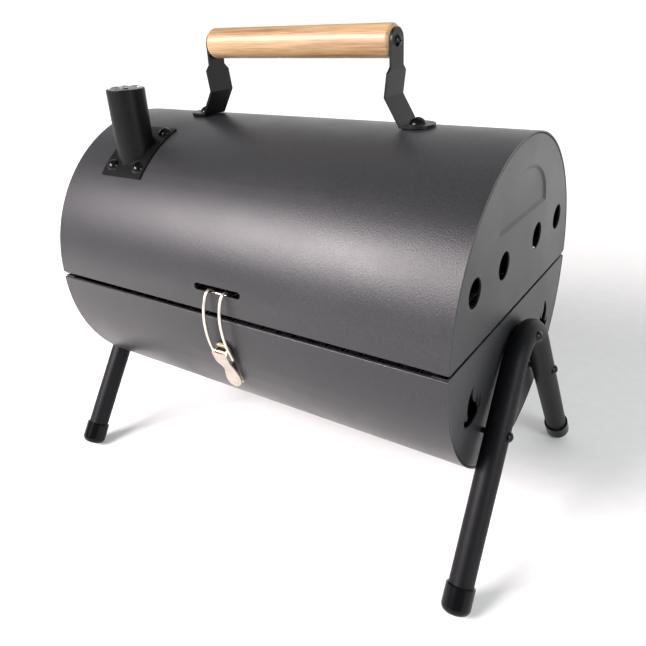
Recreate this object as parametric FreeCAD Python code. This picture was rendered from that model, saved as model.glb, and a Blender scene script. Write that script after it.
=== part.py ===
"""Barrel charcoal grill: two half-round sheet shells hinged at the back, tube legs, chimney and draw latch.

Units are millimetres. +X runs along the barrel, -Y is the latch side, +Z is up.
The origin lies on the floor, under the middle of the barrel.
Angles around the barrel are in degrees, counted up from the horizontal at the front (latch) side.
The lid and the base are two half-rounds, each with its own centre just above or below AXIS_Z,
the height of the seam, which the comments call the barrel axis.
"""
import FreeCAD, Part
import math
import os

V = FreeCAD.Vector
X_DIR = V(1, 0, 0)
Y_DIR = V(0, 1, 0)
Z_DIR = V(0, 0, 1)

# ---- driving dimensions ----
BARREL_R = 105.0            # outside of the shells
HALF_LENGTH = 160.0         # half the length of the shells
AXIS_Z = 165.0              # height of the seam between lid and base above the floor
SHEET = 1.0                 # sheet thickness of shells and end plates
SEAM_GAP = 3.6              # gap between lid edge and base edge
END_SEAM_GAP = 2.2          # gap between the two end plates
BASE_DROP = 2.0             # extra depth of the base below a plain half-round
HEM_WIDTH = 6.5             # folded-in hem along each long shell edge
HEM_ROUND = 0.8             # outer radius of the fold
END_FLANGE = 10.0           # inward flange of an end plate
END_FIT = 0.1               # end plate radius below the shell's bore
END_BEND = 1.2              # outer bend radius of an end plate

VENT_R = 8.65
VENT_Y = (-74.0, -30.0, 30.0, 74.0)
VENT_HEIGHT = 37.0          # above the barrel axis
MOON_HALF_WIDTH = 41.5      # half-moon pressed into each lid end
MOON_BASE = 57.5            # chord height above the barrel axis
MOON_RISE = 30.5
MOON_DEPTH = 1.1
MOON_FLANK = 2.4            # width of the sloping wall round the half-moon
FLAME_Y = 67.0              # centre of a flame cut-out from the middle of an end plate
FLAME_DROP = 39.0           # centre of a flame cut-out below the barrel axis

LEG_TUBE_R = 8.0
LEG_WALL = 1.2
LEG_SPLAY = 33.7            # angle of a straight leg from the vertical, seen from the end
LEG_LEAN = 1.7              # outward tilt of a whole leg, seen from the front
LEG_BEND_R = 27.0           # centreline radius at the top of a leg
LEG_VERTEX_Z = 167.2        # height where the two straight centrelines would meet
LEG_SCREW_Z = 97.0
FOOT_R = 9.3
FOOT_LENGTH = 18.0
FOOT_FILLET = 5.0
FOOT_FACET = 0.4            # depth of the flat worn into a foot cap where it stands
FOOT_CLOSED_END = 3.0

GRIP_R = 10.0
GRIP_LENGTH = 145.6
GRIP_HEIGHT = 156.0         # grip axis above the barrel axis
BRACKET_SHEET = 1.8
BRACKET_WIDTH = 22.5
BRACKET_TAB_WIDTH = 15.2
BRACKET_SCREW_X = 88.6
BRACKET_FOLD_X = 81.8       # where the strip leaves the lid
BRACKET_KNEE = (71.6, 124.5)    # X, and height above the barrel axis, of the inward kink
BRACKET_SHOULDER = 138.5    # height above the barrel axis where the strip narrows

CHIMNEY_X = -109.4
CHIMNEY_Y = -57.0
CHIMNEY_R = 13.3
CHIMNEY_WALL = 1.0
CHIMNEY_TOP = 131.5         # above the barrel axis
FLANGE_X = -107.5           # middle of the flange plate
FLANGE_HALF_WIDTH = 20.0
FLANGE_ANGLES = (43.3, 70.6)
FLANGE_SCREW_ANGLES = (47.9, 67.4)
FLANGE_SCREW_OFFSET = 13.0

HINGE_X = 95.0
HINGE_Y = 109.8
HINGE_HALF_WIDTH = 18.0
KNUCKLE_R = 3.2
PIN_R = 1.5
PIN_CLEARANCE = 0.05
LEAF_ARC = 12.0             # degrees of the shell that a hinge leaf covers

SLOT_LENGTH = 39.0
SLOT_HEIGHT = 4.6
SLOT_ANGLE = 8.7
LATCH_ANGLE = -18.8         # where the flat latch plate touches the base shell
LATCH_SHEET = 1.0
PLATE_HALF_WIDTH = 6.2
PLATE_ENDS = (-20.0, 17.0)  # top and bottom of the latch plate, along it
LEVER_PIVOT = (-14.0, 3.3)  # along the latch plate (down is positive), height above it
BAIL_PIVOT = (-8.8, 2.6)
LEVER_PIN_R = 1.0
EAR_R = 1.5
CHEEK_OUTER = 6.4
CHEEK_R = 1.8
TONGUE_R = 6.8
TONGUE_CENTRE = 11.9
BAIL_R = 1.05
BAIL_X = 7.6
# Middle line of a bail leg from its cross bar to just above its pivot: Y, and height above the barrel axis.
BAIL_LINE = ((-105.9, 16.5), (-107.3, 14.3), (-108.9, 11.3), (-110.4, 6.6), (-111.2, 0.0),
             (-111.0, -7.0), (-109.8, -15.0), (-107.8, -21.0), (-105.7, -26.0))

GRATE_LEDGE = -24.0         # top of the grate ledges, from the barrel axis
GRATE_HALF_LENGTH = 143.0
GRATE_HALF_WIDTH = 95.0
GRATE_FRAME_R = 2.0
GRATE_BAR_R = 1.5
GRATE_BAR_COUNT = 21
GRATE_REST_GAP = 0.3
TRAY_HALF_LENGTH = 145.0
TRAY_FLOOR = -84.0
TRAY_FLOOR_HALF = 60.0
TRAY_RIM = -50.0
TRAY_RIM_HALF = 86.0

INNER_R = BARREL_R - SHEET
END_R = INNER_R - END_FIT
LEG_X = HALF_LENGTH + LEG_TUBE_R
LID_Z = AXIS_Z + SEAM_GAP / 2
BASE_Z = AXIS_Z - SEAM_GAP / 2 - BASE_DROP
BIG = 400.0


def save(shape, name):
    """Write one node, after checking that each of its solids is valid."""
    for solid in shape.Solids:
        if not solid.isValid() or solid.Volume <= 0:
            raise RuntimeError("bad solid in " + name)
    shape.exportStep("parts/" + name + ".step")


def group(shapes):
    """Several separate solids in one node."""
    solids = []
    for shape in shapes:
        solids.extend(shape.Solids)
    return Part.makeCompound(solids)


def fuse(shapes):
    """One solid from touching shapes."""
    return shapes[0].multiFuse(shapes[1:]).removeSplitter()


def mirror_x(shape):
    return shape.mirror(V(0, 0, 0), X_DIR)


def mirror_y(shape):
    return shape.mirror(V(0, 0, 0), Y_DIR)


def rod_x(x0, x1, y, z, radius):
    return Part.makeCylinder(radius, x1 - x0, V(x0, y, z), X_DIR)


def box(x0, x1, y0, y1, z0, z1):
    return Part.makeBox(x1 - x0, y1 - y0, z1 - z0, V(x0, y0, z0))


def around(radius, angle):
    """Point (y, z) at a radius and angle around the centre of the lid or, below the seam, of the base."""
    turn = math.radians(angle)
    centre = LID_Z if math.sin(turn) > 0 else BASE_Z
    return -radius * math.cos(turn), centre + radius * math.sin(turn)


def outward(angle):
    turn = math.radians(angle)
    return V(0, -math.cos(turn), math.sin(turn))


def prism_yz(points, x0, x1):
    """Straight-sided prism along X from (y, z) points."""
    corners = [V(x0, y, z) for y, z in points]
    outline = Part.makePolygon(corners + [corners[0]])
    return Part.Face(outline).extrude(V(x1 - x0, 0, 0))


def sector(inner, outer, angle0, angle1, x0, x1):
    """Curved plate that follows the barrel between two angles."""
    middle = 0.5 * (angle0 + angle1)

    def at(radius, angle):
        y, z = around(radius, angle)
        return V(x0, y, z)

    edges = [
        Part.Arc(at(outer, angle0), at(outer, middle), at(outer, angle1)).toShape(),
        Part.makeLine(at(outer, angle1), at(inner, angle1)),
        Part.Arc(at(inner, angle1), at(inner, middle), at(inner, angle0)).toShape(),
        Part.makeLine(at(inner, angle0), at(outer, angle0)),
    ]
    return Part.Face(Part.Wire(edges)).extrude(V(x1 - x0, 0, 0))


def ring(centre_z, inner, outer, half_length):
    """Full sheet tube around the lid's or the base's centre."""
    tube = rod_x(-half_length, half_length, 0, centre_z, outer)
    return tube.cut(rod_x(-half_length - 1, half_length + 1, 0, centre_z, inner))


def half_space(upper, gap):
    """Block that keeps what lies above or below the seam."""
    if upper:
        return box(-BIG, BIG, -BIG, BIG, AXIS_Z + gap / 2, AXIS_Z + BIG)
    return box(-BIG, BIG, -BIG, BIG, AXIS_Z - BIG, AXIS_Z - gap / 2)


# ---- fasteners ----
def dome_head(radius, height, drive):
    """Domed screw head on the origin, pointing up, with a cross recess."""
    sphere_r = (radius ** 2 + height ** 2) / (2 * height)
    ball = Part.makeSphere(sphere_r, V(0, 0, height - sphere_r))
    head = ball.common(Part.makeCylinder(radius, height + 1))
    arm = Part.makeBox(2 * drive, 0.3 * drive, height, V(-drive, -0.15 * drive, 0.45 * height))
    cross = arm.fuse(arm.rotated(V(0, 0, 0), Z_DIR, 90))
    return head.cut(cross)


def screw(head_r, head_h, shank_r, length):
    """Screw with its head's seat on the origin and its shank going down."""
    shank = Part.makeCylinder(shank_r, length, V(0, 0, -length))
    return fuse([dome_head(head_r, head_h, 0.55 * head_r), shank])


def rivet(head_r, head_h, shank_r, length):
    """Plain domed rivet with its head's seat on the origin."""
    sphere_r = (head_r ** 2 + head_h ** 2) / (2 * head_h)
    ball = Part.makeSphere(sphere_r, V(0, 0, head_h - sphere_r))
    head = ball.common(Part.makeCylinder(head_r, head_h + 1))
    return fuse([head, Part.makeCylinder(shank_r, length, V(0, 0, -length))])


def hex_nut(flats, height, bore_r):
    """Hexagon nut hanging down from the origin."""
    corner_r = flats / math.sqrt(3)
    corners = []
    for i in range(7):
        turn = math.radians(60 * i)
        corners.append(V(corner_r * math.cos(turn), corner_r * math.sin(turn), -height))
    body = Part.Face(Part.makePolygon(corners)).extrude(V(0, 0, height))
    return body.cut(Part.makeCylinder(bore_r, height + 2, V(0, 0, -height - 1)))


def placed(shape, position, direction):
    """Turn a piece's +Z to a direction and move it to a position."""
    turned = shape.copy()
    turned.Placement = FreeCAD.Placement(position, FreeCAD.Rotation(Z_DIR, direction))
    return turned


def hole(position, direction, radius, depth):
    """Drill through both ways from a position."""
    start = position - direction * depth
    return Part.makeCylinder(radius, 2 * depth, start, direction)


CHIMNEY_SCREW = dict(head_r=4.75, head_h=3.0, shank_r=2.0, length=9.0)
FOOT_SCREW = dict(head_r=5.35, head_h=3.8, shank_r=2.4, length=9.5)
LEG_SCREW = dict(head_r=3.6, head_h=2.2, shank_r=1.9, length=24.0)
GRIP_SCREW = dict(head_r=3.6, head_h=2.2, shank_r=2.0, length=18.0)
SMALL_RIVET = dict(head_r=2.4, head_h=1.3, shank_r=1.3, length=2.6)
LATCH_RIVET = dict(head_r=2.2, head_h=0.6, shank_r=1.3, length=2.6)
HOLE_CLEARANCE = 0.1


def chimney_screw_places():
    """Seat and direction of each screw on the chimney flange."""
    places = []
    for angle in FLANGE_SCREW_ANGLES:
        for side in (-1, 1):
            y, z = around(BARREL_R + SHEET, angle)
            places.append((V(FLANGE_X + side * FLANGE_SCREW_OFFSET, y, z), outward(angle)))
    return places


def handle_screw_places():
    seat = LID_Z + BARREL_R + BRACKET_SHEET
    return [(V(side * BRACKET_SCREW_X, 0, seat), Z_DIR) for side in (-1, 1)]


def leg_apex_z():
    bend_z = LEG_VERTEX_Z - LEG_BEND_R / math.sin(math.radians(LEG_SPLAY))
    return bend_z + LEG_BEND_R


def leg_line(height):
    """Y of the back leg's centreline at a height, on its straight part, before the leg is leaned."""
    return (LEG_VERTEX_Z - height) * math.tan(math.radians(LEG_SPLAY))


def lean_placement():
    """Outward tilt of the right-hand leg about the line where its top touches the end plate."""
    pivot = V(HALF_LENGTH, 0, leg_apex_z() + LEG_TUBE_R)
    return FreeCAD.Placement(V(0, 0, 0), FreeCAD.Rotation(Y_DIR, -LEG_LEAN), pivot)


def leaned(shape):
    tilted = shape.copy()
    tilted.Placement = lean_placement().multiply(tilted.Placement)
    return tilted


def leg_screw_places():
    """Seats on the outside of the right-hand leg tube."""
    lean = lean_placement()
    direction = lean.Rotation.multVec(X_DIR)
    side_y = leg_line(LEG_SCREW_Z)
    places = []
    for y, z in ((0.0, leg_apex_z()), (-side_y, LEG_SCREW_Z), (side_y, LEG_SCREW_Z)):
        places.append((lean.multVec(V(LEG_X + LEG_TUBE_R, y, z)), direction))
    return places


def hinge_rivet_places(lid_side):
    """Rivets through a hinge leaf and its shell, at the back."""
    places = []
    for side in (-1, 1):
        for offset in (-11.0, 11.0):
            angle = 180 - 8.0 if lid_side else 180 + 8.0
            y, z = around(BARREL_R + SHEET, angle)
            places.append((V(side * HINGE_X + offset, y, z), outward(angle)))
    return places


def drill(shape, places, radius, depth=4.0):
    for position, direction in places:
        shape = shape.cut(hole(position, direction, radius + HOLE_CLEARANCE, depth))
    return shape


# ---- shells and end plates ----
def shell(upper):
    """Half-round rolled sheet with a folded hem along both long edges."""
    centre_z = LID_Z if upper else BASE_Z
    sheet = ring(centre_z, INNER_R, BARREL_R, HALF_LENGTH).common(half_space(upper, SEAM_GAP))
    hem = ring(centre_z, INNER_R - SHEET, INNER_R, HALF_LENGTH - END_FLANGE - 0.5)
    hem = hem.common(half_space(upper, SEAM_GAP))
    sign = 1 if upper else -1
    low = AXIS_Z + sign * SEAM_GAP / 2
    high = AXIS_Z + sign * (SEAM_GAP / 2 + HEM_WIDTH)
    hem = hem.common(box(-BIG, BIG, -BIG, BIG, min(low, high), max(low, high)))
    half = fuse([sheet, hem])
    folds = []
    for edge in half.Edges:
        bounds = edge.BoundBox
        outside = abs(edge.CenterOfMass.y) > BARREL_R - 0.1
        if outside and bounds.XLength > HALF_LENGTH and abs(edge.CenterOfMass.z - low) < 0.01:
            folds.append(edge)
    return half.makeFillet(HEM_ROUND, folds)


def slot_cutter():
    """Round-ended slot through the lid's front for the latch bail."""
    y, z = around(BARREL_R, SLOT_ANGLE)
    half = SLOT_LENGTH / 2 - SLOT_HEIGHT / 2
    block = Part.makeBox(2 * half, SLOT_HEIGHT, 8, V(-half, -SLOT_HEIGHT / 2, -4))
    ends = [Part.makeCylinder(SLOT_HEIGHT / 2, 8, V(s * half, 0, -4)) for s in (-1, 1)]
    cutter = fuse([block] + ends)
    cutter.Placement = FreeCAD.Placement(V(0, y, z), FreeCAD.Rotation(X_DIR, 90 - SLOT_ANGLE))
    return cutter


def chimney_bore(radius):
    return Part.makeCylinder(radius, BIG, V(CHIMNEY_X, CHIMNEY_Y, AXIS_Z + 40), Z_DIR)


def lid_shell():
    lid = shell(True)
    lid = lid.cut(slot_cutter())
    lid = lid.cut(chimney_bore(CHIMNEY_R - CHIMNEY_WALL))
    lid = drill(lid, chimney_screw_places(), CHIMNEY_SCREW["shank_r"])
    lid = drill(lid, handle_screw_places(), FOOT_SCREW["shank_r"])
    return drill(lid, hinge_rivet_places(True), SMALL_RIVET["shank_r"])


def base_shell():
    base = shell(False)
    base = drill(base, hinge_rivet_places(False), SMALL_RIVET["shank_r"])
    return drill(base, latch_rivet_places(), SMALL_RIVET["shank_r"])


def end_dish(upper):
    """Right-hand end plate: a flat disc with an inward flange, cut at the seam."""
    centre_z = LID_Z if upper else BASE_Z
    dish = rod_x(HALF_LENGTH - END_FLANGE, HALF_LENGTH, 0, centre_z, END_R)
    rim = [e for e in dish.Edges if e.Closed and e.BoundBox.XMin > HALF_LENGTH - 0.1]
    dish = dish.makeFillet(END_BEND, rim)
    hollow = rod_x(HALF_LENGTH - END_FLANGE - 1, HALF_LENGTH - SHEET, 0, centre_z, END_R - SHEET)
    return dish.cut(hollow).common(half_space(upper, END_SEAM_GAP))


def half_moon(outer_x, outer_inset, inner_x, inner_inset):
    """Solid with sloping walls between two half-ellipse outlines; an inset shrinks its outline."""
    outlines = []
    for x, inset in ((outer_x, outer_inset), (inner_x, inner_inset)):
        centre = V(x, 0, AXIS_Z + MOON_BASE + inset)
        half_width = MOON_HALF_WIDTH - inset
        right = centre + V(0, half_width, 0)
        left = centre - V(0, half_width, 0)
        ellipse = Part.Ellipse(right, centre + V(0, 0, MOON_RISE - 2 * inset), centre)
        arch = Part.ArcOfEllipse(ellipse, 0, math.pi).toShape()
        outlines.append(Part.Wire([arch, Part.makeLine(left, right)]))
    return Part.makeLoft(outlines, True, True)


def lid_end():
    """Right-hand lid end: four round vents and a half-moon pressed inward."""
    back_x = HALF_LENGTH - SHEET - MOON_DEPTH
    backing = half_moon(HALF_LENGTH - 0.5 * SHEET, -0.6, back_x, MOON_FLANK - 0.6)
    plate = fuse([end_dish(True), backing])
    proud = 0.5
    flare = proud * MOON_FLANK / MOON_DEPTH
    plate = plate.cut(half_moon(HALF_LENGTH + proud, -flare, HALF_LENGTH - MOON_DEPTH, MOON_FLANK))
    for y in VENT_Y:
        plate = plate.cut(rod_x(HALF_LENGTH - 5, HALF_LENGTH + 5, y, AXIS_Z + VENT_HEIGHT, VENT_R))
    return plate


# One flame, as a chain of arcs (bulge point, end point) about its own centre; it starts at the tall tip.
FLAME_START = (-0.3, 14.5)
FLAME_ARCS = (
    ((-6.6, 7.8), (-8.0, 1.4)),      # left shoulder
    ((-7.6, -1.6), (-6.0, -4.2)),    # into the left notch
    ((-8.5, -5.1), (-11.4, -2.0)),   # out to the left hook
    ((-11.7, -6.8), (-7.9, -10.2)),  # hook to the bottom
    ((1.0, -12.0), (10.0, -9.6)),    # round bottom
    ((12.9, -4.0), (11.5, 4.0)),     # right side up to the right tip
    ((9.9, -1.0), (9.1, -5.0)),      # down into the right notch
    ((7.8, 1.5), (7.0, 8.5)),       # up to the middle tip
    ((5.9, 4.2), (3.8, 1.2)),        # into the middle notch
    ((0.7, 5.5), FLAME_START),       # back up to the tall tip
)


def flame_cutter(back):
    """Flame-shaped hole through an end plate; the back one is the mirror image of the front one."""
    mirror = -1 if back else 1

    def at(point):
        u, v = point
        return V(HALF_LENGTH - 3, mirror * (u - FLAME_Y), AXIS_Z - FLAME_DROP + v)

    edges = []
    start = FLAME_START
    for bulge, end in FLAME_ARCS:
        edges.append(Part.Arc(at(start), at(bulge), at(end)).toShape())
        start = end
    return Part.Face(Part.Wire(edges)).extrude(V(6, 0, 0))


def base_end():
    """Right-hand base end: two flame-shaped air holes and three leg-screw holes."""
    plate = end_dish(False)
    for back in (False, True):
        plate = plate.cut(flame_cutter(back))
    return drill(plate, leg_screw_places(), LEG_SCREW["shank_r"], 22.0)


# ---- chimney ----
def chimney_flange():
    """Rolled rectangular plate with eased corners under the chimney."""
    low, high = FLANGE_ANGLES
    plate = sector(BARREL_R, BARREL_R + SHEET, low, high,
                   FLANGE_X - FLANGE_HALF_WIDTH, FLANGE_X + FLANGE_HALF_WIDTH)
    corners = [e for e in plate.Edges if abs(e.Length - SHEET) < 0.01]
    plate = plate.makeFillet(0.4, corners)
    plate = plate.cut(chimney_bore(CHIMNEY_R - CHIMNEY_WALL))
    return drill(plate, chimney_screw_places(), CHIMNEY_SCREW["shank_r"])


def chimney_pipe():
    """Upright pipe, cut at the bottom to sit on the rolled flange."""
    top = AXIS_Z + CHIMNEY_TOP
    height = CHIMNEY_TOP - 40
    centre = V(CHIMNEY_X, CHIMNEY_Y, AXIS_Z + 40)
    pipe = Part.makeCylinder(CHIMNEY_R, height, centre)
    rim = [e for e in pipe.Edges if e.Closed and e.BoundBox.ZMin > top - 0.1]
    pipe = pipe.makeFillet(0.6, rim)
    pipe = pipe.cut(chimney_bore(CHIMNEY_R - CHIMNEY_WALL))
    return pipe.cut(rod_x(-HALF_LENGTH, HALF_LENGTH, 0, LID_Z, BARREL_R + SHEET))


def chimney_cap():
    """Pressed disc in the mouth of the pipe, with petals between five smoke holes."""
    top = AXIS_Z + CHIMNEY_TOP
    disc_r = CHIMNEY_R - CHIMNEY_WALL - 0.05
    disc = Part.makeCylinder(disc_r, 1.5, V(CHIMNEY_X, CHIMNEY_Y, top - 2.0))
    petals = 5
    hole_circle = 7.6
    hole_r = 3.1
    for i in range(petals):
        turn = math.radians(360.0 / petals * (i + 0.5))
        x = CHIMNEY_X + hole_circle * math.cos(turn)
        y = CHIMNEY_Y + hole_circle * math.sin(turn)
        disc = disc.cut(Part.makeCylinder(hole_r, 6, V(x, y, top - 4)))
    knob = Part.makeSphere(3.4, V(CHIMNEY_X, CHIMNEY_Y, top - 2.6))
    knob = knob.common(box(-BIG, BIG, -BIG, BIG, top - 1.9, top + 5))
    return fuse([disc, knob])


def fasteners(places, kind):
    return group([placed(screw(**kind), position, direction) for position, direction in places])


def nuts(places, kind, reach, flats, height):
    """Nuts on the far side of the sheet, reach millimetres below the screw seats."""
    pieces = []
    for position, direction in places:
        nut = hex_nut(flats, height, kind["shank_r"] + PIN_CLEARANCE)
        pieces.append(placed(nut, position - direction * reach, direction))
    return group(pieces)


# ---- handle ----
def strip_section(points, thickness):
    """Closed outline of a bent strip, from the points of its middle line."""
    left = []
    right = []
    for i, (px, pz) in enumerate(points):
        before = points[max(i - 1, 0)]
        after = points[min(i + 1, len(points) - 1)]
        normals = []
        for start, end in ((before, (px, pz)), ((px, pz), after)):
            dx = end[0] - start[0]
            dz = end[1] - start[1]
            length = math.hypot(dx, dz)
            if length > 0:
                normals.append((-dz / length, dx / length))
        nx = sum(n[0] for n in normals) / len(normals)
        nz = sum(n[1] for n in normals) / len(normals)
        scale = 0.5 * thickness / (nx * nx + nz * nz)
        left.append((px + nx * scale, pz + nz * scale))
        right.append((px - nx * scale, pz - nz * scale))
    return left + right[::-1]


def bracket():
    """Right-hand handle bracket: flat foot, leg that kinks in and out, round-topped tab."""
    top = LID_Z + BARREL_R
    middle = 0.5 * BRACKET_SHEET
    grip_z = AXIS_Z + GRIP_HEIGHT
    tab_x = 0.5 * GRIP_LENGTH + middle
    knee_x, knee_height = BRACKET_KNEE
    shoulder = AXIS_Z + BRACKET_SHOULDER
    line = [
        (BRACKET_SCREW_X + BRACKET_WIDTH, top + middle),
        (BRACKET_FOLD_X, top + middle),
        (knee_x, AXIS_Z + knee_height),
        (tab_x, shoulder + 1.5),
        (tab_x, grip_z + BRACKET_TAB_WIDTH),
    ]
    outline = [V(x, -BRACKET_WIDTH / 2, z) for x, z in strip_section(line, BRACKET_SHEET)]
    strip = Part.Face(Part.makePolygon(outline + [outline[0]])).extrude(V(0, BRACKET_WIDTH, 0))
    bends = []
    for edge in strip.Edges:
        middle_point = edge.CenterOfMass
        if edge.BoundBox.YLength > 1 and middle_point.x < BRACKET_FOLD_X + 3 and middle_point.z < grip_z:
            bends.append(edge)
    strip = strip.makeFillet(1.0, bends)
    foot = fuse([
        box(0, BRACKET_SCREW_X, -BRACKET_WIDTH / 2, BRACKET_WIDTH / 2, 0, BIG),
        Part.makeCylinder(BRACKET_WIDTH / 2, BIG, V(BRACKET_SCREW_X, 0, 0)),
    ])
    half = BRACKET_WIDTH / 2
    tab = BRACKET_TAB_WIDTH / 2
    sides = prism_yz([
        (-half, 0), (half, 0), (half, shoulder), (tab, shoulder + 3.5),
        (tab, grip_z), (-tab, grip_z), (-tab, shoulder + 3.5), (-half, shoulder),
    ], 0, BIG)
    sides = fuse([sides, rod_x(0, BIG, 0, grip_z, tab)])
    strip = strip.common(foot).common(sides)
    strip = drill(strip, [handle_screw_places()[1]], FOOT_SCREW["shank_r"])
    return strip.cut(rod_x(60, 90, 0, grip_z, GRIP_SCREW["shank_r"] + HOLE_CLEARANCE))


def grip():
    """Turned wooden grip with rounded ends and a pilot hole at each end."""
    half = GRIP_LENGTH / 2
    z = AXIS_Z + GRIP_HEIGHT
    wood = rod_x(-half, half, 0, z, GRIP_R)
    ends = [e for e in wood.Edges if e.Closed]
    wood = wood.makeFillet(2.2, ends)
    pilot_r = GRIP_SCREW["shank_r"] + PIN_CLEARANCE
    pilot = rod_x(half - GRIP_SCREW["length"], half + 1, 0, z, pilot_r)
    return wood.cut(pilot).cut(mirror_x(pilot))


def grip_screws():
    seat = V(GRIP_LENGTH / 2 + BRACKET_SHEET, 0, AXIS_Z + GRIP_HEIGHT)
    one = placed(screw(**GRIP_SCREW), seat, X_DIR)
    return group([one, mirror_x(one)])


# ---- legs and feet ----
FOOT_SINK = (FOOT_FILLET * math.cos(math.radians(LEG_SPLAY))
             - (FOOT_R - FOOT_FILLET) * math.sin(math.radians(LEG_SPLAY)) - FOOT_FILLET)
FOOT_END_Z = -FOOT_SINK - FOOT_FACET
LEG_DOWN = V(0, math.sin(math.radians(LEG_SPLAY)), -math.cos(math.radians(LEG_SPLAY)))


def foot_end():
    """Middle of the back foot cap's outer end, on the leg's centreline."""
    return V(LEG_X, leg_line(FOOT_END_Z), FOOT_END_Z)


def leg_core(radius):
    """Solid bent rod along the leg's centreline, feet to apex to feet."""
    splay = math.radians(LEG_SPLAY)
    bend_z = LEG_VERTEX_Z - LEG_BEND_R / math.sin(splay)
    tangent = V(LEG_X, LEG_BEND_R * math.cos(splay), bend_z + LEG_BEND_R * math.sin(splay))
    lower = foot_end() - LEG_DOWN * FOOT_CLOSED_END
    straight = Part.makeCylinder(radius, (lower - tangent).Length, tangent, LEG_DOWN)
    profile = Part.Face(Part.Wire(Part.makeCircle(radius, tangent, LEG_DOWN)))
    bend = profile.revolve(V(LEG_X, 0, bend_z), X_DIR, 180 - 2 * LEG_SPLAY)
    return fuse([straight, bend, mirror_y(straight)])


def leg():
    tube = leaned(leg_core(LEG_TUBE_R).cut(leg_core(LEG_TUBE_R - LEG_WALL)))
    return drill(tube, leg_screw_places(), LEG_SCREW["shank_r"], 22.0)


def leg_nuts():
    """Nuts inside the right-hand base end; the leaned leg stands further off the plate lower down."""
    pieces = []
    lean = math.radians(LEG_LEAN)
    top = leg_apex_z() + LEG_TUBE_R
    for position, direction in leg_screw_places():
        stand_off = (top - position.z) * math.tan(lean)
        reach = 2 * LEG_TUBE_R + SHEET + stand_off + 0.3
        pieces.append(nuts([(position, direction)], LEG_SCREW, reach, 7.0, 3.0))
    return group(pieces)


def foot_cap():
    """Moulded cap pushed over the leg end, turned from one profile, with a small flat where it stands."""
    lip = 0.5
    round_middle = FOOT_FILLET * (1 - math.sqrt(0.5))

    def at(radius, height):
        return V(radius, 0, height)

    edges = [
        Part.makeLine(at(0, 0), at(FOOT_R - FOOT_FILLET, 0)),
        Part.Arc(at(FOOT_R - FOOT_FILLET, 0), at(FOOT_R - round_middle, round_middle),
                 at(FOOT_R, FOOT_FILLET)).toShape(),
        Part.makeLine(at(FOOT_R, FOOT_FILLET), at(FOOT_R, FOOT_LENGTH - lip)),
        Part.makeLine(at(FOOT_R, FOOT_LENGTH - lip), at(FOOT_R - lip, FOOT_LENGTH)),
        Part.makeLine(at(FOOT_R - lip, FOOT_LENGTH), at(LEG_TUBE_R, FOOT_LENGTH)),
        Part.makeLine(at(LEG_TUBE_R, FOOT_LENGTH), at(LEG_TUBE_R, FOOT_CLOSED_END)),
        Part.makeLine(at(LEG_TUBE_R, FOOT_CLOSED_END), at(0, FOOT_CLOSED_END)),
        Part.makeLine(at(0, FOOT_CLOSED_END), at(0, 0)),
    ]
    cap = Part.Face(Part.Wire(edges)).revolve(V(0, 0, 0), Z_DIR, 360)
    cap = leaned(placed(cap, foot_end(), LEG_DOWN * -1))
    return cap.cut(box(-BIG, BIG, -BIG, BIG, -BIG, 0))


# ---- hinges ----
def hinge_leaf(lid_side):
    """Right-hand hinge leaf: a curved plate riveted to a shell, and its knuckles."""
    sign = 1 if lid_side else -1
    x0 = HINGE_X - HINGE_HALF_WIDTH
    x1 = HINGE_X + HINGE_HALF_WIDTH
    leaf_start = 0.3            # degrees from the shell's own centre line
    centre_z = LID_Z if lid_side else BASE_Z
    plate = sector(BARREL_R, BARREL_R + SHEET, 180 - sign * leaf_start, 180 - sign * LEAF_ARC, x0, x1)
    third = (x1 - x0) / 3
    gap = 0.3
    if lid_side:
        spans = [(x0 + third + gap, x1 - third - gap)]
    else:
        spans = [(x0, x0 + third), (x1 - third, x1)]
    low, high = sorted((AXIS_Z + sign * SEAM_GAP / 2, centre_z + sign * 1.0))
    pieces = [plate, box(x0, x1, BARREL_R, BARREL_R + SHEET, low, high)]
    for a, b in spans:
        pieces.append(rod_x(a, b, HINGE_Y, AXIS_Z, KNUCKLE_R))
        low = AXIS_Z + sign * (KNUCKLE_R - SHEET)
        high = AXIS_Z + sign * KNUCKLE_R
        pieces.append(box(a, b, BARREL_R + 0.2, HINGE_Y, min(low, high), max(low, high)))
    leaf = fuse(pieces)
    leaf = leaf.cut(rod_x(x0 - 1, x1 + 1, HINGE_Y, AXIS_Z, PIN_R + PIN_CLEARANCE))
    leaf = leaf.cut(rod_x(-HALF_LENGTH, HALF_LENGTH, 0, centre_z, BARREL_R))
    return drill(leaf, hinge_rivet_places(lid_side), SMALL_RIVET["shank_r"])


def hinge_pin():
    """Right-hand hinge pin with a low head at each end."""
    x0 = HINGE_X - HINGE_HALF_WIDTH
    x1 = HINGE_X + HINGE_HALF_WIDTH
    return fuse([
        rod_x(x0 - 1.4, x1 + 1.4, HINGE_Y, AXIS_Z, PIN_R),
        rod_x(x0 - 1.6, x0 - 0.2, HINGE_Y, AXIS_Z, PIN_R + 0.9),
        rod_x(x1 + 0.2, x1 + 1.6, HINGE_Y, AXIS_Z, PIN_R + 0.9),
    ])


def rivets(places, kind):
    return group([placed(rivet(**kind), position, direction) for position, direction in places])


# ---- latch ----
def on_plate(along, height):
    """Point (y, z) in the latch plate's own frame."""
    y, z = around(BARREL_R, LATCH_ANGLE)
    out = outward(LATCH_ANGLE)
    down = V(0, -out.z, out.y)
    return y + down.y * along + out.y * height, z + down.z * along + out.z * height


def plate_prism(points, x0, x1):
    return prism_yz([on_plate(along, height) for along, height in points], x0, x1)


def plate_outline(points, low, high):
    """Prism through the latch from (x, along) points, between two heights above the plate."""
    corners = []
    for x, along in points:
        y, z = on_plate(along, low)
        corners.append(V(x, y, z))
    face = Part.Face(Part.makePolygon(corners + [corners[0]]))
    return face.extrude(outward(LATCH_ANGLE) * (high - low))


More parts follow.
